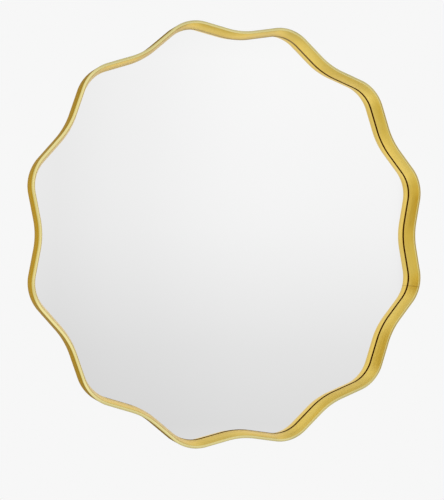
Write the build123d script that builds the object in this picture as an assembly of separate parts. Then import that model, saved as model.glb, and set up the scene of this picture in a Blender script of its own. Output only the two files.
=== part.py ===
from build123d import *
import os
from math import acos, atan2, cos, radians, sin

# Wall mirror with a scalloped metal frame, in millimetres.
# The origin is on the wall behind the middle of the mirror. The front faces -Y, up is +Z.

# Outline, as seen from the front: lobes and valleys are arcs, joined by straight flanks
LOBES = 12
DIAMETER = 800.0
CREST_ARC = 75.0
VALLEY_ARC = 135.0
FLANK = 45.0

# Frame section
FRAME_DEPTH = 38.0
SHEET = 1.5
RIM_WIDTH = 5.2
RIM_FALL = 1.9
LIP_INSET = 11.1
FRONT_EDGE_ROUND = 1.2

# Glass, tape and backing board, from front to back
GLASS = 4.0
TAPE = 1.5
BOARD = 3.0
BOARD_RECESS = 3.0
GLASS_INSET = 8.0
BOARD_WALL_GAP = 0.5
TAPE_STRIPS = 4
TAPE_WIDTH = 25.0
TAPE_PITCH = 150.0
TAPE_END_GAP = 50.0

# Lugs that take the board's screws, one welded inside each lobe
LUG_LENGTH = 10.0
LUG_WIDTH = 13.0
LUG_DEPTH = 5.8
SCREW_INSET = 4.4
SCREW_RADIUS = 1.5
SCREW_LENGTH = 10.0
SCREW_HEAD_RADIUS = 2.75
SCREW_HEAD_HEIGHT = 1.9
SCREW_HEAD_ROUND = 0.8
SCREW_TIP = 0.4
RECESS_SPAN = 3.0
RECESS_WIDTH = 0.7
RECESS_DEPTH = 1.0
THREAD_CLEARANCE = 0.05
BOARD_HOLE_CLEARANCE = 0.2

# Hangers: a riveted strap folded round the bar of a ring
HANGER_X = 190.0
HANGER_Z = 215.0
RING_WIRE_RADIUS = 1.5
RING_HALF_WIDTH = 10.5
RING_LEG = 4.0
RING_CORNER = 2.4
RING_TILT = 4.5
STRAP_SHEET = 1.0
STRAP_WIDTH = 14.0
STRAP_LENGTH = 30.0
STRAP_CORNER = 4.0
STRAP_NECK = 2.2
PIVOT_CLEARANCE = 0.05
RIVET_RADIUS = 1.6
RIVET_HEAD_RADIUS = 3.2
RIVET_HEAD_HEIGHT = 1.0
RIVET_HEAD_ROUND = 0.7
RIVET_HOLLOW = 0.9
RIVET_FLANGE_RADIUS = 2.9
RIVET_FLANGE_HEIGHT = 0.9
RIVET_CLEARANCE = 0.05
RIVET_DROPS = [9.0, 23.5]

# Bumpers that keep the hangers clear of the wall
BUMPER_EDGE_GAP = 37.1
BUMPER_RADIUS = 8.0
BUMPER_HEIGHT = 6.0
BUMPER_ROUND = 1.2

# Depths along Y that follow from the sizes above, counted from the board's rear face
FRONT_Y = BOARD_RECESS - FRAME_DEPTH
BOARD_FRONT_Y = -BOARD
GLASS_BACK_Y = BOARD_FRONT_Y - TAPE
GLASS_FRONT_Y = GLASS_BACK_Y - GLASS
LIP_DEPTH = GLASS_FRONT_Y - FRONT_Y
PIVOT_Y = RING_WIRE_RADIUS + PIVOT_CLEARANCE + STRAP_SHEET
STRAP_OUTER = PIVOT_Y

# Places in the outline that follow from its arcs
HALF_PITCH = radians(180.0 / LOBES)
CREST_REACH = DIAMETER / 2
CREST_CENTRE = CREST_REACH - CREST_ARC
ARC_SUM = CREST_ARC + VALLEY_ARC
SPAN = (ARC_SUM**2 + FLANK**2) ** 0.5
ACROSS = CREST_CENTRE * sin(HALF_PITCH)
VALLEY_CENTRE = CREST_CENTRE * cos(HALF_PITCH) + (SPAN**2 - ACROSS**2) ** 0.5
VALLEY_REACH = VALLEY_CENTRE - VALLEY_ARC
BUMPER_XZ = (VALLEY_REACH - BUMPER_EDGE_GAP) * cos(radians(45))
BACKWARD = Vector(0, 1, 0)


def polar(radius, angle, y):
    """A point at a radius and an angle about the Y axis, at depth y."""
    return Vector(radius * cos(angle), y, radius * sin(angle))


def scallop(inset, y):
    """The closed lobed outline, moved inwards by inset, at depth y."""
    dx = VALLEY_CENTRE * cos(HALF_PITCH) - CREST_CENTRE
    dz = VALLEY_CENTRE * sin(HALF_PITCH)
    normal = atan2(dz, dx) - acos(ARC_SUM / SPAN)
    crest_arc = CREST_ARC - inset
    valley_arc = VALLEY_ARC + inset
    edges = []
    for lobe in range(LOBES):
        axis = HALF_PITCH + lobe * 2 * HALF_PITCH
        valley = axis + HALF_PITCH
        crest_mid = polar(CREST_CENTRE, axis, y)
        valley_mid = polar(VALLEY_CENTRE, valley, y)
        start = crest_mid + polar(crest_arc, axis - normal, 0)
        top = polar(CREST_CENTRE + crest_arc, axis, y)
        end = crest_mid + polar(crest_arc, axis + normal, 0)
        dip_start = valley_mid - polar(valley_arc, axis + normal, 0)
        dip = polar(VALLEY_CENTRE - valley_arc, valley, y)
        dip_end = valley_mid - polar(valley_arc, valley + HALF_PITCH - normal, 0)
        following = polar(CREST_CENTRE, axis + 2 * HALF_PITCH, y)
        following += polar(crest_arc, axis + 2 * HALF_PITCH - normal, 0)
        edges.append(Edge.make_three_point_arc(start, top, end))
        edges.append(Edge.make_line(end, dip_start))
        edges.append(Edge.make_three_point_arc(dip_start, dip, dip_end))
        edges.append(Edge.make_line(dip_end, following))
    return Wire(edges)


def slab(inset, y_front, y_back):
    """A flat plate with the lobed outline."""
    return Solid.extrude(Face(scallop(inset, y_front)), BACKWARD * (y_back - y_front))


def flare(inset_front, y_front, inset_back, y_back):
    """A body whose lobed outline shrinks from front to back."""
    return Solid.make_loft([scallop(inset_front, y_front), scallop(inset_back, y_back)], True)


def rod(radius, y_front, y_back, x=0.0, z=0.0):
    """A round bar along Y."""
    plane = Plane(origin=(x, y_front, z), x_dir=(1, 0, 0), z_dir=(0, 1, 0))
    return Solid.make_cylinder(radius, y_back - y_front, plane)


def block(x_size, y_size, z_size, x, y, z):
    """A box centred on a point."""
    return Pos(x, y, z) * Box(x_size, y_size, z_size)


def lobe_angles():
    """The direction of each lobe's crest, in degrees."""
    return [180.0 / LOBES + lobe * 360.0 / LOBES for lobe in range(LOBES)]


def roofed(y_front, y_back):
    """A plate with the full outline, its front margin sloping back as the rim does."""
    sections = [scallop(RIM_WIDTH, y_front), scallop(0, y_front + RIM_FALL), scallop(0, y_back)]
    return Solid.make_loft(sections, True)


# Folded sheet frame: outer wall, narrow rim that falls outwards and an inner wall that slopes in to the glass
def make_frame():
    slope = (LIP_INSET - RIM_WIDTH) / LIP_DEPTH
    wall = SHEET * (1 + slope * slope) ** 0.5
    roof = SHEET * (1 + (RIM_FALL / RIM_WIDTH) ** 2) ** 0.5
    past = 3.0
    body = roofed(FRONT_Y, BOARD_RECESS)
    opening = flare(RIM_WIDTH - slope * past, FRONT_Y - past, LIP_INSET + slope * past, GLASS_FRONT_Y + past)
    inner_wall = flare(RIM_WIDTH - wall, FRONT_Y, LIP_INSET - wall, GLASS_FRONT_Y)
    hollow = roofed(FRONT_Y + roof, BOARD_RECESS + past) & slab(SHEET, FRONT_Y, BOARD_RECESS + past)
    frame = body - opening - (hollow - inner_wall)
    corners = (FRONT_Y, FRONT_Y + RIM_FALL)
    edges = frame.edges().filter_by(lambda e: min(abs(e.center().Y - y) for y in corners) < 0.01)
    return fillet(edges, FRONT_EDGE_ROUND)


# Steel lug welded to the inside of a lobe
def make_lug(angle):
    middle = CREST_REACH - SHEET - LUG_DEPTH / 2
    y = BOARD_FRONT_Y - LUG_LENGTH / 2
    lug = block(LUG_DEPTH, LUG_LENGTH, LUG_WIDTH, middle, y, 0)
    lug = lug & rod(CREST_ARC - SHEET, y - LUG_LENGTH, y + LUG_LENGTH, CREST_CENTRE, 0)
    hole = SCREW_RADIUS + THREAD_CLEARANCE
    lug = lug - rod(hole, y - LUG_LENGTH, y + LUG_LENGTH, CREST_REACH - SCREW_INSET, 0)
    return Rot(0, -angle, 0) * lug


# Pan-head screw with a cross recess, pointing towards the front
def make_screw():
    shank = rod(SCREW_RADIUS, -SCREW_LENGTH, 0)
    tip = shank.edges().filter_by(lambda e: abs(e.center().Y + SCREW_LENGTH) < 0.01)
    shank = chamfer(tip, SCREW_TIP)
    head = rod(SCREW_HEAD_RADIUS, 0, SCREW_HEAD_HEIGHT)
    rim = head.edges().filter_by(lambda e: abs(e.center().Y - SCREW_HEAD_HEIGHT) < 0.01)
    head = fillet(rim, SCREW_HEAD_ROUND)
    screw = shank + head
    for turn in (45, 135):
        slot = block(RECESS_SPAN, 2 * RECESS_DEPTH, RECESS_WIDTH, 0, SCREW_HEAD_HEIGHT, 0)
        screw = screw - Rot(0, turn, 0) * slot
    return screw


def make_screws():
    one = make_screw()
    reach = CREST_REACH - SCREW_INSET
    return Compound([Rot(0, -a, 0) * Pos(reach, 0, 0) * one for a in lobe_angles()])


# Hardboard back with holes for the screws and the rivets
def make_board():
    board = slab(SHEET + BOARD_WALL_GAP, BOARD_FRONT_Y, 0)
    reach = CREST_REACH - SCREW_INSET
    hole = rod(SCREW_RADIUS + BOARD_HOLE_CLEARANCE, -BOARD - 1, 1, reach, 0)
    cuts = [Rot(0, -a, 0) * hole for a in lobe_angles()]
    for side in (-1, 1):
        for drop in RIVET_DROPS:
            cuts.append(rod(RIVET_RADIUS + RIVET_CLEARANCE, -BOARD - 1, 1, side * HANGER_X, HANGER_Z - drop))
    return board - cuts


# Strap folded round the ring's bar, its two layers riveted flat to the board
def make_strap(side):
    layers = 2 * STRAP_SHEET
    foot = -STRAP_LENGTH
    neck = -STRAP_OUTER - STRAP_NECK
    plane = Plane(origin=(side * HANGER_X - STRAP_WIDTH / 2, 0, HANGER_Z), x_dir=(0, 1, 0), z_dir=(1, 0, 0))
    lean = atan2(STRAP_OUTER + layers - PIVOT_Y, -neck)
    touch = (PIVOT_Y + STRAP_OUTER * cos(lean), -STRAP_OUTER * sin(lean))
    outline = Polyline((0, 0), (0, foot), (layers, foot), (layers, neck), touch, (PIVOT_Y, 0), close=True)
    profile = make_face(outline) + Pos(PIVOT_Y, 0) * Circle(STRAP_OUTER)
    profile = profile - Pos(PIVOT_Y, 0) * Circle(RING_WIRE_RADIUS + PIVOT_CLEARANCE)
    strap = extrude(plane * profile, STRAP_WIDTH)
    ends = strap.edges().filter_by(Axis.Y).filter_by(lambda e: e.center().Z < HANGER_Z + foot + 0.01)
    strap = fillet(ends, STRAP_CORNER)
    for drop in RIVET_DROPS:
        strap = strap - rod(RIVET_RADIUS + RIVET_CLEARANCE, -1, layers + 1, side * HANGER_X, HANGER_Z - drop)
    return strap


# Blind rivet: domed head on the strap, set flange on the front of the board
def make_rivet():
    layers = 2 * STRAP_SHEET
    rivet = rod(RIVET_RADIUS, -BOARD, layers)
    head = rod(RIVET_HEAD_RADIUS, layers, layers + RIVET_HEAD_HEIGHT)
    rim = head.edges().filter_by(lambda e: abs(e.center().Y - layers - RIVET_HEAD_HEIGHT) < 0.01)
    head = fillet(rim, RIVET_HEAD_ROUND)
    flange = rod(RIVET_FLANGE_RADIUS, -BOARD - RIVET_FLANGE_HEIGHT, -BOARD)
    rivet = rivet + head + flange
    return rivet - rod(RIVET_HOLLOW, 0, layers + 2 * RIVET_HEAD_HEIGHT)


def make_rivets(side):
    one = make_rivet()
    return Compound([Pos(side * HANGER_X, 0, HANGER_Z - drop) * one for drop in RIVET_DROPS])


# Wire ring with a straight bar, drawn hanging down and tipped back on to its strap
def make_ring(side):
    w = RING_HALF_WIDTH
    r = RING_CORNER
    low = -r - RING_LEG
    k = r * (1 - cos(radians(45)))
    path = Wire([
        Edge.make_line((0, 0, 0), (w - r, 0, 0)),
        Edge.make_three_point_arc((w - r, 0, 0), (w - k, 0, -k), (w, 0, -r)),
        Edge.make_line((w, 0, -r), (w, 0, low)),
        Edge.make_three_point_arc((w, 0, low), (0, 0, low - w), (-w, 0, low)),
        Edge.make_line((-w, 0, low), (-w, 0, -r)),
        Edge.make_three_point_arc((-w, 0, -r), (k - w, 0, -k), (r - w, 0, 0)),
        Edge.make_line((r - w, 0, 0), (0, 0, 0)),
    ])
    section = Plane(origin=(0, 0, 0), x_dir=(0, 1, 0), z_dir=(1, 0, 0)) * Circle(RING_WIRE_RADIUS)
    ring = sweep(section, path)
    return Pos(side * HANGER_X, PIVOT_Y, HANGER_Z) * Rot(RING_TILT, 0, 0) * ring


# Self-adhesive rubber bumper
def make_bumper(x, z):
    bumper = rod(BUMPER_RADIUS, 0, BUMPER_HEIGHT, x, z)
    rim = bumper.edges().filter_by(lambda e: abs(e.center().Y - BUMPER_HEIGHT) < 0.01)
    return fillet(rim, BUMPER_ROUND)


# Upright strip of foam tape that stops short of the glass's edge
def make_tape(x):
    length = 2 * ((VALLEY_REACH - GLASS_INSET) ** 2 - x * x) ** 0.5 - 2 * TAPE_END_GAP
    return block(TAPE_WIDTH, TAPE, length, x, GLASS_BACK_Y + TAPE / 2, 0)


def all_parts():
    parts = {
        "frame": make_frame(),
        "mirror_glass": slab(GLASS_INSET, GLASS_FRONT_Y, GLASS_BACK_Y),
        "backing_board": make_board(),
        "board_screws": make_screws(),
    }
    for number, angle in enumerate(lobe_angles(), 1):
        parts[f"lug_{number:02d}"] = make_lug(angle)
    for number in range(TAPE_STRIPS):
        parts[f"tape_{number + 1}"] = make_tape((number - (TAPE_STRIPS - 1) / 2) * TAPE_PITCH)
    for name, side in (("left", -1), ("right", 1)):
        parts[f"strap_{name}"] = make_strap(side)
        parts[f"rivets_{name}"] = make_rivets(side)
        parts[f"ring_{name}"] = make_ring(side)
    places = [(1, 1), (-1, 1), (-1, -1), (1, -1)]
    for number, (x, z) in enumerate(places, 1):
        parts[f"bumper_{number}"] = make_bumper(x * BUMPER_XZ, z * BUMPER_XZ)
    return {name: Pos(0, -BUMPER_HEIGHT, 0) * part for name, part in parts.items()}


os.makedirs("parts", exist_ok=True)
for name, shape in all_parts().items():
    export_step(shape, f"parts/{name}.step")
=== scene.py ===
import bpy
import bmesh
from math import acos, atan2, cos, pi, radians, sin
from mathutils import Matrix, Vector


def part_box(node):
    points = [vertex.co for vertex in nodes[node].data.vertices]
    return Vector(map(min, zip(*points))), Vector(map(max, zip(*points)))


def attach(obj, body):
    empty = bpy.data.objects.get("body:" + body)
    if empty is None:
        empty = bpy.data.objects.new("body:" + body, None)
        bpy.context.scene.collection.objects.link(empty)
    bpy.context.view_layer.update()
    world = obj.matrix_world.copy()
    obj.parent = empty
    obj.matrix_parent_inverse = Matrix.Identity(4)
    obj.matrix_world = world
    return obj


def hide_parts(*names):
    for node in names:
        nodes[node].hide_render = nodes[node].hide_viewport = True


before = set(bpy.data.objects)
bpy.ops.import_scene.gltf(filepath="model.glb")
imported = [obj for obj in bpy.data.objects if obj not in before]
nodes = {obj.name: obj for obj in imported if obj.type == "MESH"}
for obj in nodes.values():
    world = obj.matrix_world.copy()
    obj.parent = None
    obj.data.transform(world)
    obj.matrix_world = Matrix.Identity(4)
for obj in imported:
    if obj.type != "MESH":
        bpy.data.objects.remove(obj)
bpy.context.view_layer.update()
cornerRise = 0.00038  # the rim and the inner wall would meet this much further forward without their bend
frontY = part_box("frame")[0].y - cornerRise
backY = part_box("frame")[1].y
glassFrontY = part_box("mirror_glass")[0].y
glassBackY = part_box("mirror_glass")[1].y
print("frame loaded")

# lobed outline, shared by the frame and the glass
outline = {
    "lobes": 12,
    "acrossCrests": 0.800,
    "crestArc": 0.075,  # radii of the outer edge's arcs
    "valleyArc": 0.135,
    "flank": 0.045,  # the straight between two arcs
    "crestSteps": 10,
    "flankSteps": 5,
    "valleySteps": 5,
}
halfPitch = pi / outline["lobes"]
crestReach = outline["acrossCrests"] / 2
crestCentre = crestReach - outline["crestArc"]
arcSum = outline["crestArc"] + outline["valleyArc"]
centreSpan = (arcSum**2 + outline["flank"] ** 2) ** 0.5
valleyCentre = crestCentre * cos(halfPitch) + (centreSpan**2 - (crestCentre * sin(halfPitch)) ** 2) ** 0.5
valleyX, valleyZ = valleyCentre * cos(halfPitch), valleyCentre * sin(halfPitch)
flankNormal = atan2(valleyZ, valleyX - crestCentre) - acos(arcSum / centreSpan)
weldAngle = -halfPitch  # the frame is closed on the lobe just below the right-hand middle
weldSlack = 1e-4  # a point this near the weld, in radians, lies on it
bandLength = 2 * pi * crestReach
mergeSlack = 1e-5


def lobedSweep(bm, section, closed):
    # a section of (inset, depth) points is spun about the crest, run along the flank and spun about the
    # valley; that half lobe is mirrored and repeated round the frame
    points = [bm.verts.new((crestReach - inset, y, 0)) for inset, y in section]
    pairs = list(zip(points, points[1:] + points[:1])) if closed else list(zip(points, points[1:]))
    front = [bm.edges.new(pair) for pair in pairs]
    crest = bmesh.ops.spin(bm, geom=points + front, cent=(crestCentre, 0, 0), axis=(0, -1, 0),
                           dvec=(0, 0, 0), angle=flankNormal, steps=outline["crestSteps"],
                           use_duplicate=False)
    front = [g for g in crest["geom_last"] if isinstance(g, bmesh.types.BMEdge)]
    step = Vector((-sin(flankNormal), 0, cos(flankNormal))) * outline["flank"] / outline["flankSteps"]
    for _ in range(outline["flankSteps"]):
        grown = bmesh.ops.extrude_edge_only(bm, edges=front)["geom"]
        front = [g for g in grown if isinstance(g, bmesh.types.BMEdge)]
        bmesh.ops.translate(bm, verts=list({v for e in front for v in e.verts}), vec=step)
    ends = list({v for e in front for v in e.verts})
    bmesh.ops.spin(bm, geom=ends + front, cent=(valleyX, 0, valleyZ), axis=(0, 1, 0), dvec=(0, 0, 0),
                   angle=flankNormal - halfPitch, steps=outline["valleySteps"], use_duplicate=False)
    bmesh.ops.mirror(bm, geom=bm.verts[:] + bm.edges[:] + bm.faces[:], matrix=Matrix(),
                     merge_dist=mergeSlack, axis="Z")
    bmesh.ops.spin(bm, geom=bm.verts[:] + bm.edges[:] + bm.faces[:], cent=(0, 0, 0), axis=(0, -1, 0),
                   dvec=(0, 0, 0), angle=2 * halfPitch * (outline["lobes"] - 1), steps=outline["lobes"] - 1,
                   use_duplicate=True)
    bmesh.ops.remove_doubles(bm, verts=bm.verts, dist=mergeSlack)
    bmesh.ops.recalc_face_normals(bm, faces=bm.faces)
    bmesh.ops.rotate(bm, verts=bm.verts, cent=(0, 0, 0), matrix=Matrix.Rotation(-halfPitch, 3, "Y"))


def alongBand(co):
    # distance round the frame from its weld
    turn = (atan2(co.z, co.x) - weldAngle) % (2 * pi)
    return 0.0 if turn > 2 * pi - weldSlack else turn * crestReach


def insetOf(co):
    # how far inside the outer outline a point lies, measured square to the outline
    turn = (atan2(co.z, co.x) + halfPitch) % (2 * halfPitch)
    turn = min(turn, 2 * halfPitch - turn)
    radius = (co.x**2 + co.z**2) ** 0.5
    x, z = radius * cos(turn), radius * sin(turn)
    crestX = x - crestCentre
    if atan2(z, crestX) <= flankNormal:
        return outline["crestArc"] - (crestX**2 + z**2) ** 0.5
    toValleyX, toValleyZ = valleyX - x, valleyZ - z
    if atan2(toValleyZ, toValleyX) <= flankNormal:
        return (toValleyX**2 + toValleyZ**2) ** 0.5 - outline["valleyArc"]
    return outline["crestArc"] - (crestX * cos(flankNormal) + z * sin(flankNormal))


def finishPiece(bm, name, body, replaced, materials):
    bmesh.ops.recalc_face_normals(bm, faces=bm.faces)
    mesh = bpy.data.meshes.new(name)
    bm.to_mesh(mesh)
    bm.free()
    piece = bpy.data.objects.new(name, mesh)
    bpy.context.scene.collection.objects.link(piece)
    for material in materials:
        mesh.materials.append(material)
    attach(piece, body)
    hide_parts(*replaced)


noiseSpan = (0.3, 0.7)  # nearly all of a noise lies between these
bumpDepth = 0.0002


def newMaterial(name):
    material = bpy.data.materials.new(name)
    material.use_nodes = True
    tree = material.node_tree
    return material, tree, tree.nodes["Principled BSDF"]


def objectCoords(tree):
    return tree.nodes.new("ShaderNodeTexCoord").outputs["Object"]


def axesOf(tree, vector):
    parts = tree.nodes.new("ShaderNodeSeparateXYZ")
    tree.links.new(vector, parts.inputs["Vector"])
    return parts.outputs["X"], parts.outputs["Y"], parts.outputs["Z"]


def noiseFrom(tree, source, scale, detail=3.0, roughness=0.55, turn=(0, 0, 0)):
    mapping = tree.nodes.new("ShaderNodeMapping")
    mapping.inputs["Rotation"].default_value = turn
    mapping.inputs["Scale"].default_value = scale
    noise = tree.nodes.new("ShaderNodeTexNoise")
    noise.inputs["Scale"].default_value = 1.0  # the mapping scales it
    noise.inputs["Detail"].default_value = detail
    noise.inputs["Roughness"].default_value = roughness
    tree.links.new(source, mapping.inputs["Vector"])
    tree.links.new(mapping.outputs["Vector"], noise.inputs["Vector"])
    return noise.outputs["Fac"]


def rampFrom(tree, source, stops):
    # each stop is a position and a colour, or one number for a grey
    ramp = tree.nodes.new("ShaderNodeValToRGB")
    elements = ramp.color_ramp.elements
    while len(elements) < len(stops):
        elements.new(0.5)
    for element, (position, colour) in zip(elements, stops):
        element.position = position
        element.color = (*colour, 1.0) if isinstance(colour, tuple) else (colour, colour, colour, 1.0)
    tree.links.new(source, ramp.inputs["Fac"])
    return ramp.outputs["Color"]


def twoTone(tree, noise, low, high):
    return rampFrom(tree, noise, list(zip(noiseSpan, (low, high))))


def darker(colour, share):
    return tuple(c * share for c in colour)


def mathNode(tree, operation, *values):
    node = tree.nodes.new("ShaderNodeMath")
    node.operation = operation
    for socket, value in zip(node.inputs, values):
        if isinstance(value, (int, float)):
            socket.default_value = value
        else:
            tree.links.new(value, socket)
    return node.outputs[0]


def mapRange(tree, source, fromMin, fromMax, toMin, toMax):
    node = tree.nodes.new("ShaderNodeMapRange")
    tree.links.new(source, node.inputs["Value"])
    for key, value in (("From Min", fromMin), ("From Max", fromMax), ("To Min", toMin), ("To Max", toMax)):
        node.inputs[key].default_value = value
    return node.outputs["Result"]


def mixColour(tree, factor, first, second, blend="MIX"):
    node = tree.nodes.new("ShaderNodeMix")
    node.data_type = "RGBA"
    node.blend_type = blend
    for socket, value in ((node.inputs[0], factor), (node.inputs[6], first), (node.inputs[7], second)):
        if isinstance(value, (int, float)):
            socket.default_value = value
        elif isinstance(value, tuple):
            socket.default_value = (*value, 1.0)
        else:
            tree.links.new(value, socket)
    return node.outputs[2]


def bumpFrom(tree, height, strength, shader):
    bump = tree.nodes.new("ShaderNodeBump")
    bump.inputs["Strength"].default_value = strength
    bump.inputs["Distance"].default_value = bumpDepth
    tree.links.new(height, bump.inputs["Height"])
    tree.links.new(bump.outputs["Normal"], shader.inputs["Normal"])


# gold frame: folded sheet with an outer wall, a narrow rim and an inner wall that slopes in to the glass
goldFrame = {
    "sheet": 0.0015,
    "rimWidth": 0.0052,
    "lipInset": 0.0111,
    "rimDrop": 0.0019,  # the rim falls back this far towards the outer wall
    "innerBend": 0.00137,
    "innerBendSegments": 6,
    "outerBend": 0.00084,
    "outerBendSegments": 5,
    "rawEdge": 0.0003,
    "rawEdgeSegments": 2,
    "wallColour": (0.94, 0.70, 0.15),
    "wallWarm": (0.91, 0.63, 0.09),
    "outerColour": (0.84, 0.565, 0.085),
    # the rim's paler, whiter colour is a painted highlight
    "rimHighlightColour": (0.885, 0.775, 0.345),
    "rimHighlightSpread": 0.6,  # how much of each bend takes the rim's colour, its painted highlight
    "grazingInner": (1.0, 0.90, 0.66),
    "grazingOuter": (1.0, 0.80, 0.30),
    "roughness": 0.30,
    "rimRoughness": 0.2,
    "roughnessSwing": (-0.04, 0.06),
    "lacquer": 0.3,  # none on the outer wall
    "lacquerRoughness": 0.2,
    "broadStreaks": (5, 190, 1),  # how often they change in a metre, along and across the band
    "broadShade": (0.93, 1.05),
    "fineStreaks": (14, 1500, 1),
    "fineBump": 0.12,
    "warmPatches": (11, 34, 1),
    "warmRange": (0.42, 0.68),
    "warmest": 0.75,
    "weldReach": 0.0016,  # from the weld's middle to where it has faded out
    "weldCore": 0.35,  # the share of that reach before the fading starts
    "weldStrength": 0.4,
    "weldColour": (0.42, 0.25, 0.06),
    "insideDark": (0.10, 0.075, 0.04),
    "insidePale": (0.16, 0.12, 0.06),
    "insideBlotches": (60, 60, 60),
    "insideMetal": 0.6,
    "insideRoughness": 0.6,
}
# the section's corners, in the order of sectionStops
wallEdge, outerCorner, innerCorner, lipEdge, lipInside, innerInside, outerInside, wallInside = range(8)


def sectionStops():
    # corners of the folded sheet's section, as inset and depth, from the outer wall's back edge forwards
    sheet, rim, lip, drop = (goldFrame[key] for key in ("sheet", "rimWidth", "lipInset", "rimDrop"))
    slope = (lip - rim) / (glassFrontY - frontY)
    wall = sheet * (1 + slope * slope) ** 0.5  # the inner wall's thickness, measured level
    innerTop = rim - wall + slope * sheet
    return [
        (0.0, backY), (0.0, frontY + drop), (rim, frontY), (lip, glassFrontY),
        (lip - wall, glassFrontY), (innerTop, frontY + sheet), (sheet, frontY + sheet + drop), (sheet, backY),
    ]


def edgesAt(bm, stopOf, corners):
    # the edges that run round the frame at these corners of its section
    level = [e for e in bm.edges if e.verts[0][stopOf] == e.verts[1][stopOf]]
    return [e for e in level if e.verts[0][stopOf] in corners]


def makeFrameMesh():
    bm = bmesh.new()
    stops = sectionStops()
    lengths = [0.0]  # distance round the section at each corner
    for (a, b), (c, d) in zip(stops, stops[1:] + stops[:1]):
        lengths.append(lengths[-1] + ((a - c) ** 2 + (b - d) ** 2) ** 0.5)
    stopOf = bm.verts.layers.int.new("stop")
    lobedSweep(bm, stops, True)
    # which corner of the section each vertex belongs to, from its depth and its way inward
    for v in bm.verts:
        inset = insetOf(v.co)
        v[stopOf] = min(range(len(stops)), key=lambda n: abs(stops[n][0] - inset) + abs(stops[n][1] - v.co.y))
    uv = bm.loops.layers.uv.new("band")
    for face in bm.faces:
        corners = {v[stopOf] for v in face.verts}
        first = wallInside if corners == {wallEdge, wallInside} else min(corners)
        pastHalf = alongBand(face.calc_center_median()) > bandLength / 2
        for loop in face.loops:
            along = alongBand(loop.vert.co)
            if pastHalf and along < bandLength / 4:
                along += bandLength
            across = lengths[first] if loop.vert[stopOf] == first else lengths[first + 1]
            loop[uv].uv = (along, across)
        # gold on the outer wall, the rim and the inner wall, dull steel inside the fold
        face.material_index = 0 if first in (wallEdge, outerCorner, innerCorner) else 1
    bends = {
        "innerBend": edgesAt(bm, stopOf, {innerCorner}),
        "outerBend": edgesAt(bm, stopOf, {outerCorner}),
        "rawEdge": edgesAt(bm, stopOf, {wallEdge, lipEdge, lipInside, wallInside}),
    }
    for bend, edges in bends.items():
        bmesh.ops.bevel(bm, geom=edges, offset=goldFrame[bend], offset_type="OFFSET",
                        segments=goldFrame[bend + "Segments"], profile=0.5, affect="EDGES", material=-1,
                        clamp_overlap=True)
    for face in bm.faces:
        face.smooth = True
    return bm, lengths


def makeGold(lengths):
    material, tree, shader = newMaterial("brushedGold")
    uvNode = tree.nodes.new("ShaderNodeUVMap")
    uvNode.uv_map = "band"
    band = uvNode.outputs["UV"]
    along, across, _ = axesOf(tree, band)
    broad = noiseFrom(tree, band, goldFrame["broadStreaks"], detail=2.0)
    fine = noiseFrom(tree, band, goldFrame["fineStreaks"], detail=3.0)
    patches = noiseFrom(tree, band, goldFrame["warmPatches"], detail=2.0)
    # the rim's flat front is coloured paler than the walls, a painted highlight; its roughness is also lower
    soft = goldFrame["outerBend"]
    rimStart = lengths[outerCorner] - goldFrame["outerBend"] * goldFrame["rimHighlightSpread"]
    rimEnd = lengths[innerCorner] + goldFrame["innerBend"] * goldFrame["rimHighlightSpread"]
    rise = mapRange(tree, across, rimStart - soft, rimStart + soft, 0.0, 1.0)
    fall = mapRange(tree, across, rimEnd - soft, rimEnd + soft, 1.0, 0.0)
    onRim = mathNode(tree, "MULTIPLY", rise, fall)
    onOutside = mapRange(tree, across, rimStart - soft, rimStart + soft, 1.0, 0.0)
    warmth = mapRange(tree, patches, *goldFrame["warmRange"], 0.0, goldFrame["warmest"])
    inner = mixColour(tree, warmth, goldFrame["wallColour"], goldFrame["wallWarm"])
    wall = mixColour(tree, onOutside, inner, goldFrame["outerColour"])
    colour = mixColour(tree, onRim, wall, goldFrame["rimHighlightColour"])
    shade = mapRange(tree, broad, *noiseSpan, *goldFrame["broadShade"])
    shaded = mixColour(tree, 1.0, colour, shade, "MULTIPLY")
    # weld: a thin dull line across the band
    half = bandLength / 2
    fromHalf = mathNode(tree, "ABSOLUTE", mathNode(tree, "SUBTRACT", along, half))
    fromWeld = mathNode(tree, "SUBTRACT", half, fromHalf)
    reach = goldFrame["weldReach"]
    line = mapRange(tree, fromWeld, reach * goldFrame["weldCore"], reach, goldFrame["weldStrength"], 0.0)
    welded = mixColour(tree, line, shaded, goldFrame["weldColour"])
    tree.links.new(welded, shader.inputs["Base Color"])
    shader.inputs["Metallic"].default_value = 1.0
    base = mapRange(tree, onRim, 0.0, 1.0, goldFrame["roughness"], goldFrame["rimRoughness"])
    swing = mapRange(tree, broad, *noiseSpan, *goldFrame["roughnessSwing"])
    tree.links.new(mathNode(tree, "ADD", base, swing), shader.inputs["Roughness"])
    grazing = mixColour(tree, onOutside, goldFrame["grazingInner"], goldFrame["grazingOuter"])
    tree.links.new(grazing, shader.inputs["Specular Tint"])
    lacquer = mapRange(tree, onOutside, 0.0, 1.0, goldFrame["lacquer"], 0.0)
    tree.links.new(lacquer, shader.inputs["Coat Weight"])
    shader.inputs["Coat Roughness"].default_value = goldFrame["lacquerRoughness"]
    bumpFrom(tree, fine, goldFrame["fineBump"], shader)
    return material


def makeInsideSteel():
    material, tree, shader = newMaterial("frameInside")
    blotches = noiseFrom(tree, objectCoords(tree), goldFrame["insideBlotches"])
    colour = twoTone(tree, blotches, goldFrame["insideDark"], goldFrame["insidePale"])
    tree.links.new(colour, shader.inputs["Base Color"])
    shader.inputs["Metallic"].default_value = goldFrame["insideMetal"]
    shader.inputs["Roughness"].default_value = goldFrame["insideRoughness"]
    return material


frameMesh, sectionLengths = makeFrameMesh()
gold = makeGold(sectionLengths)
insideSteel = makeInsideSteel()
finishPiece(frameMesh, "goldFrame", "mirror_body", ["frame"], [gold, insideSteel])
print("gold frame made")

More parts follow.
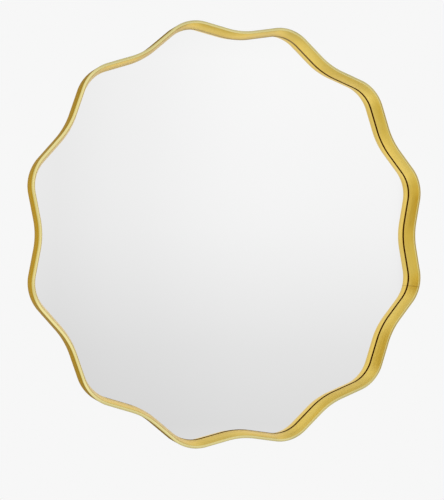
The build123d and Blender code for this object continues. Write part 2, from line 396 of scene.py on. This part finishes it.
# mirror glass
mirrorGlass = {
    "edgeInset": 0.008,
    "underLip": 0.0001,  # the silvering starts this far under the lip
    "silverDrop": 0.0028,  # the silvering lies behind 4 mm of glass and looks this far behind its front
    "silver": (0.957, 0.957, 0.957),
    "hazeShare": 0.997,
    "haze": (3, 3, 3),
    # the glass edge's dark colour is a painted shadow, the shade in the gap between the frame's lip and the
    # glass
    "edgeShadow": (0.06, 0.012, 0.0),
    "edgeShare": 0.7,
    "edgeSmears": (40, 40, 40),
    "edgeLitSide": (0.60, 0.47, 0.25),  # painted light: towards the upper left the edge is painted paler, where the gap is lit rather than in shade
    "edgeLitFade": (0.15, 0.42),  # where that change starts and ends, up plus left of the middle
    "edgeRoughness": 0.5,
    "backPaint": (0.30, 0.31, 0.32),
    "paintShare": 0.85,
    "paintFlow": (9, 9, 9),
    "paintRoughness": 0.45,
}


def makeGlassMesh():
    bm = bmesh.new()
    silverY = glassFrontY + mirrorGlass["silverDrop"]
    edge, lip = mirrorGlass["edgeInset"], goldFrame["lipInset"] - mirrorGlass["underLip"]
    lobedSweep(bm, [(edge, glassBackY), (edge, glassFrontY), (lip, glassFrontY), (lip, silverY)], False)
    # silvering, glass edge and back paint are the materials 0, 1 and 2; the glass edge is coloured as a
    # painted shadow
    for face in bm.faces:
        face.material_index = 1
    for depth, number in ((silverY, 0), (glassBackY, 2)):
        rim = [e for e in bm.edges if e.is_boundary and abs(e.verts[0].co.y - depth) < mergeSlack]
        for face in bmesh.ops.contextual_create(bm, geom=rim)["faces"]:
            face.material_index = number
    return bm


def makeSilver():
    material, tree, shader = newMaterial("silvering")
    haze = noiseFrom(tree, objectCoords(tree), mirrorGlass["haze"], detail=2.0)
    silver = mirrorGlass["silver"]
    tint = twoTone(tree, haze, silver, darker(silver, mirrorGlass["hazeShare"]))
    tree.links.new(tint, shader.inputs["Base Color"])
    shader.inputs["Metallic"].default_value = 1.0
    shader.inputs["Roughness"].default_value = 0.0
    return material


def makeGlassEdgeShadow():
    material, tree, shader = newMaterial("glassEdgeShadow")
    coords = objectCoords(tree)
    smears = noiseFrom(tree, coords, mirrorGlass["edgeSmears"])
    # painted shadow: the edge is coloured dark for the shaded gap under the frame's lip
    dark = mirrorGlass["edgeShadow"]
    colour = twoTone(tree, smears, darker(dark, mirrorGlass["edgeShare"]), dark)
    # painted light: the edge's painted shadow turns paler towards the upper left
    x, _, z = axesOf(tree, coords)
    upAndLeft = mathNode(tree, "SUBTRACT", z, x)
    litShare = mapRange(tree, upAndLeft, *mirrorGlass["edgeLitFade"], 0.0, 1.0)
    tree.links.new(mixColour(tree, litShare, colour, mirrorGlass["edgeLitSide"]), shader.inputs["Base Color"])
    shader.inputs["Roughness"].default_value = mirrorGlass["edgeRoughness"]
    shader.inputs["Specular IOR Level"].default_value = 0.0
    return material


def makeBackPaint():
    material, tree, shader = newMaterial("mirrorBackPaint")
    flow = noiseFrom(tree, objectCoords(tree), mirrorGlass["paintFlow"])
    paint = mirrorGlass["backPaint"]
    colour = twoTone(tree, flow, darker(paint, mirrorGlass["paintShare"]), paint)
    tree.links.new(colour, shader.inputs["Base Color"])
    shader.inputs["Roughness"].default_value = mirrorGlass["paintRoughness"]
    return material


finishPiece(makeGlassMesh(), "mirrorGlass", "mirror_body", ["mirror_glass"],
            [makeSilver(), makeGlassEdgeShadow(), makeBackPaint()])
print("mirror glass made")

# finishes of the pieces kept from the frame
hardboard = {
    "dark": (0.115, 0.062, 0.03),
    "pale": (0.19, 0.105, 0.052),
    "toneSpan": (0.36, 0.64),
    "mottle": (9, 9, 9),
    "mottleShare": 0.4,
    "mottleTurn": (0.6, 0.9, 0.4),  # turned, so that the noise's own grid doesn't line up with the board
    "fibres": (260, 260, 520),
    "fibreShare": 0.6,
    "fibreTurn": (0.3, 0.5, 0.2),
    "fibreBump": 0.25,
    "roughness": (0.5, 0.68),
}
hardware = {
    "zinc": (0.60, 0.61, 0.62),
    "nickel": (0.70, 0.69, 0.66),
    "alloy": (0.66, 0.66, 0.67),
    "steel": (0.30, 0.30, 0.31),
    "rubber": (0.022, 0.022, 0.023),
    "foam": (0.78, 0.78, 0.76),
    "screwRoughness": 0.28,
    "strapRoughness": 0.34,
    "rivetRoughness": 0.36,
    "ringRoughness": 0.2,
    "lugRoughness": 0.5,
    "tapeRoughness": 0.85,
    "bumperRoughness": 0.75,
    "platingCloud": (350, 350, 350),
    "platingShare": 0.82,
    "platingSwing": (-0.06, 0.1),
    "tapePores": (900, 900, 900),
    "bumperPores": (600, 600, 600),
    "poreShare": 0.8,
    "poreBump": 0.2,
}


def makePlating(name, colour, roughness):
    material, tree, shader = newMaterial(name)
    cloud = noiseFrom(tree, objectCoords(tree), hardware["platingCloud"])
    tone = twoTone(tree, cloud, darker(colour, hardware["platingShare"]), colour)
    tree.links.new(tone, shader.inputs["Base Color"])
    shader.inputs["Metallic"].default_value = 1.0
    smoothest, roughest = (roughness + swing for swing in hardware["platingSwing"])
    tree.links.new(mapRange(tree, cloud, *noiseSpan, smoothest, roughest), shader.inputs["Roughness"])
    return material


def makeHardboard():
    material, tree, shader = newMaterial("hardboard")
    coords = objectCoords(tree)
    mottle = noiseFrom(tree, coords, hardboard["mottle"], detail=8.0, roughness=0.75,
                       turn=hardboard["mottleTurn"])
    fibres = noiseFrom(tree, coords, hardboard["fibres"], detail=4.0, roughness=0.7,
                       turn=hardboard["fibreTurn"])
    mottlePart = mathNode(tree, "MULTIPLY", mottle, hardboard["mottleShare"])
    fibrePart = mathNode(tree, "MULTIPLY", fibres, hardboard["fibreShare"])
    both = mathNode(tree, "ADD", mottlePart, fibrePart)
    darkEnd, paleEnd = hardboard["toneSpan"]
    colour = rampFrom(tree, both, [(darkEnd, hardboard["dark"]), (paleEnd, hardboard["pale"])])
    tree.links.new(colour, shader.inputs["Base Color"])
    tree.links.new(mapRange(tree, fibres, *noiseSpan, *hardboard["roughness"]), shader.inputs["Roughness"])
    bumpFrom(tree, fibres, hardboard["fibreBump"], shader)
    return material


def makeMatt(name, colour, roughness, poreScale):
    material, tree, shader = newMaterial(name)
    pores = noiseFrom(tree, objectCoords(tree), poreScale)
    tone = twoTone(tree, pores, darker(colour, hardware["poreShare"]), colour)
    tree.links.new(tone, shader.inputs["Base Color"])
    shader.inputs["Roughness"].default_value = roughness
    bumpFrom(tree, pores, hardware["poreBump"], shader)
    return material


finishes = {
    "backing_board": makeHardboard(),
    "board_screws": makePlating("zincScrews", hardware["zinc"], hardware["screwRoughness"]),
    "strap_": makePlating("zincStraps", hardware["zinc"], hardware["strapRoughness"]),
    "rivets_": makePlating("rivetAlloy", hardware["alloy"], hardware["rivetRoughness"]),
    "ring_": makePlating("nickelWire", hardware["nickel"], hardware["ringRoughness"]),
    "lug_": makePlating("plainSteel", hardware["steel"], hardware["lugRoughness"]),
    "tape_": makeMatt("foamTape", hardware["foam"], hardware["tapeRoughness"], hardware["tapePores"]),
    "bumper_": makeMatt("bumperRubber", hardware["rubber"], hardware["bumperRoughness"],
                        hardware["bumperPores"]),
}
for name, node in nodes.items():
    for start, material in finishes.items():
        if name.startswith(start):
            node.data.materials.clear()
            node.data.materials.append(material)
print("finishes set")

# room and lamps; a reflector's stops run from 0 at the left or the bottom to 1 at the right or the top
studio = {
    "paper": 0.93,
    "ambient": 0.7,
    # soft reflectors in front, the second multiplied by the first
    "sideways": [(0.0, 0.92), (0.24, 1.0), (0.33, 1.12), (0.39, 1.05), (0.46, 1.0), (0.56, 0.94),
                 (0.61, 0.89), (0.635, 0.93), (0.654, 0.948), (0.673, 0.973), (0.692, 0.992), (0.71, 1.0),
                 (0.765, 1.0), (0.79, 0.56), (0.88, 0.56), (1.0, 0.80)],
    "upright": [(0.0, 0.85), (0.05, 0.74), (0.09, 0.62), (0.13, 0.72), (0.16, 0.82), (0.22, 0.93),
                (0.28, 1.0), (0.34, 0.90), (0.41, 0.754), (0.446, 0.81), (0.467, 0.859), (0.487, 0.90),
                (0.507, 0.935), (0.527, 0.953), (0.548, 0.962), (0.568, 0.971), (0.59, 0.978), (0.64, 0.92),
                (0.72, 0.84), (0.78, 0.86), (0.84, 0.79), (0.89, 0.59), (0.94, 0.72), (1.0, 0.85)],
    # a dimmer gap in their middle, for the wall's reflection at the right of the glass
    "gap": 0.68,
    "gapAcross": [(0.37, 0.0), (0.42, 1.0), (0.48, 1.0), (0.55, 0.0)],
    "gapUpright": [(0.33, 0.0), (0.41, 1.0), (0.59, 1.0), (0.67, 0.0)],
    # cards at the two sides, warm at middle height
    "leftCard": [(0.0, (0.80, 0.80, 0.78)), (0.15, (0.82, 0.82, 0.80)), (0.33, (0.72, 0.70, 0.55)),
                 (0.50, (0.71, 0.64, 0.38)), (0.66, (0.54, 0.45, 0.18)), (0.87, (0.78, 0.76, 0.72)),
                 (1.0, (0.80, 0.80, 0.78))],
    "leftBlend": (0.14, 0.32),
    "rightCard": [(0.0, (0.86, 0.86, 0.84)), (0.22, (0.82, 0.81, 0.74)), (0.36, (0.50, 0.42, 0.23)),
                  (0.64, (0.49, 0.40, 0.21)), (0.80, (0.84, 0.83, 0.77)), (1.0, (0.86, 0.86, 0.84))],
    "rightBlend": (0.78, 0.93),
    # behind the mirror: dimmer, with a dark flag that the outer wall shows where it is seen almost edge on
    "behind": [(0.20, (0.25, 0.24, 0.20)), (0.28, (0.37, 0.35, 0.30)), (0.34, (0.40, 0.38, 0.33)),
               (0.40, (0.52, 0.50, 0.43)), (0.50, (0.57, 0.55, 0.49)), (0.60, (0.52, 0.50, 0.43)),
               (0.66, (0.40, 0.38, 0.33)), (0.72, (0.37, 0.35, 0.30)), (0.80, (0.25, 0.24, 0.20))],
    "behindBlend": (0.50, 0.62),
    "flag": (0.10, 0.085, 0.05),
    "flagBlend": [(0.55, 0.0), (0.61, 1.0), (0.72, 1.0), (0.80, 0.0)],
    "floorZ": -1.30,
    "floorSize": 14.0,
    "floorGrey": 0.85,
    "floorRoughness": 0.9,
    "lampSize": 2.6,
    "keyPower": 60.0,
    "keyPlace": (1.6, -2.6, 2.2),
    "fillPower": 22.0,
    "fillPlace": (-2.4, -1.6, 0.6),
}


def makeWorld():
    # polished metal and the mirror see the reflectors, the camera sees plain paper, the rest gets even light
    world = bpy.data.worlds.new("studioWorld")
    bpy.context.scene.world = world
    world.use_nodes = True
    tree = world.node_tree
    direction = axesOf(tree, tree.nodes.new("ShaderNodeTexCoord").outputs["Generated"])
    x, y, z = (mapRange(tree, axis, -1.0, 1.0, 0.0, 1.0) for axis in direction)
    sideways, upright = rampFrom(tree, x, studio["sideways"]), rampFrom(tree, z, studio["upright"])
    front = mixColour(tree, 1.0, sideways, upright, "MULTIPLY")
    across, up = rampFrom(tree, x, studio["gapAcross"]), rampFrom(tree, z, studio["gapUpright"])
    front = mixColour(tree, mathNode(tree, "MULTIPLY", across, up), front, (studio["gap"],) * 3)
    onLeft = mapRange(tree, x, *studio["leftBlend"], 1.0, 0.0)
    glow = mixColour(tree, onLeft, front, rampFrom(tree, z, studio["leftCard"]))
    onRight = mapRange(tree, x, *studio["rightBlend"], 0.0, 1.0)
    glow = mixColour(tree, onRight, glow, rampFrom(tree, z, studio["rightCard"]))
    onFlag = rampFrom(tree, x, studio["flagBlend"])
    back = mixColour(tree, onFlag, rampFrom(tree, z, studio["behind"]), studio["flag"])
    glow = mixColour(tree, mapRange(tree, y, *studio["behindBlend"], 0.0, 1.0), glow, back)
    rays = tree.nodes.new("ShaderNodeLightPath")
    lit = mixColour(tree, rays.outputs["Is Glossy Ray"], (studio["ambient"],) * 3, glow)
    seen = mixColour(tree, rays.outputs["Is Camera Ray"], lit, (studio["paper"],) * 3)
    tree.links.new(seen, tree.nodes["Background"].inputs["Color"])


def makeFloor():
    bm = bmesh.new()
    bmesh.ops.create_grid(bm, x_segments=1, y_segments=1, size=studio["floorSize"] / 2)
    bmesh.ops.translate(bm, verts=bm.verts, vec=(0, 0, studio["floorZ"]))
    mesh = bpy.data.meshes.new("studioFloor")
    bm.to_mesh(mesh)
    bm.free()
    floor = bpy.data.objects.new("studioFloor", mesh)
    bpy.context.scene.collection.objects.link(floor)
    material, tree, shader = newMaterial("paperFloor")
    shader.inputs["Base Color"].default_value = (studio["floorGrey"],) * 3 + (1,)
    shader.inputs["Roughness"].default_value = studio["floorRoughness"]
    glow = tree.nodes.new("ShaderNodeEmission")
    glow.inputs["Color"].default_value = (studio["paper"],) * 3 + (1,)
    rays = tree.nodes.new("ShaderNodeLightPath")
    mix = tree.nodes.new("ShaderNodeMixShader")
    tree.links.new(rays.outputs["Is Camera Ray"], mix.inputs["Fac"])
    tree.links.new(shader.outputs["BSDF"], mix.inputs[1])
    tree.links.new(glow.outputs["Emission"], mix.inputs[2])
    tree.links.new(mix.outputs["Shader"], tree.nodes["Material Output"].inputs["Surface"])
    mesh.materials.append(material)
    floor.visible_glossy = False


def makeLamp(name, place, size, power):
    data = bpy.data.lights.new(name, "AREA")
    data.shape = "DISK"
    data.size = size
    data.energy = power
    lamp = bpy.data.objects.new(name, data)
    lamp.location = place
    lamp.rotation_euler = (-Vector(place)).to_track_quat("-Z", "Y").to_euler()
    lamp.visible_glossy = False
    bpy.context.scene.collection.objects.link(lamp)


camera = {
    "place": (-0.7281, -1.7335, -0.0130),
    "yaw": 22.128,
    "pitch": -0.461,
    "focalPixels": 997.4,
    "longSidePixels": 500,
    "sensor": 36.0,
    "nearest": 0.01,
}


def makeCamera():
    data = bpy.data.cameras.new("photoCamera")
    data.sensor_width = camera["sensor"]
    data.lens = camera["focalPixels"] / camera["longSidePixels"] * camera["sensor"]
    data.clip_start = camera["nearest"]
    photoCamera = bpy.data.objects.new("photoCamera", data)
    photoCamera.location = camera["place"]
    photoCamera.rotation_euler = (radians(90 + camera["pitch"]), 0, radians(-camera["yaw"]))
    bpy.context.scene.collection.objects.link(photoCamera)
    bpy.context.scene.camera = photoCamera


makeWorld()
makeFloor()
makeLamp("keyLamp", studio["keyPlace"], studio["lampSize"], studio["keyPower"])
makeLamp("fillLamp", studio["fillPlace"], studio["lampSize"], studio["fillPower"])
makeCamera()
bpy.context.scene.view_settings.view_transform = "Standard"
print("studio ready")
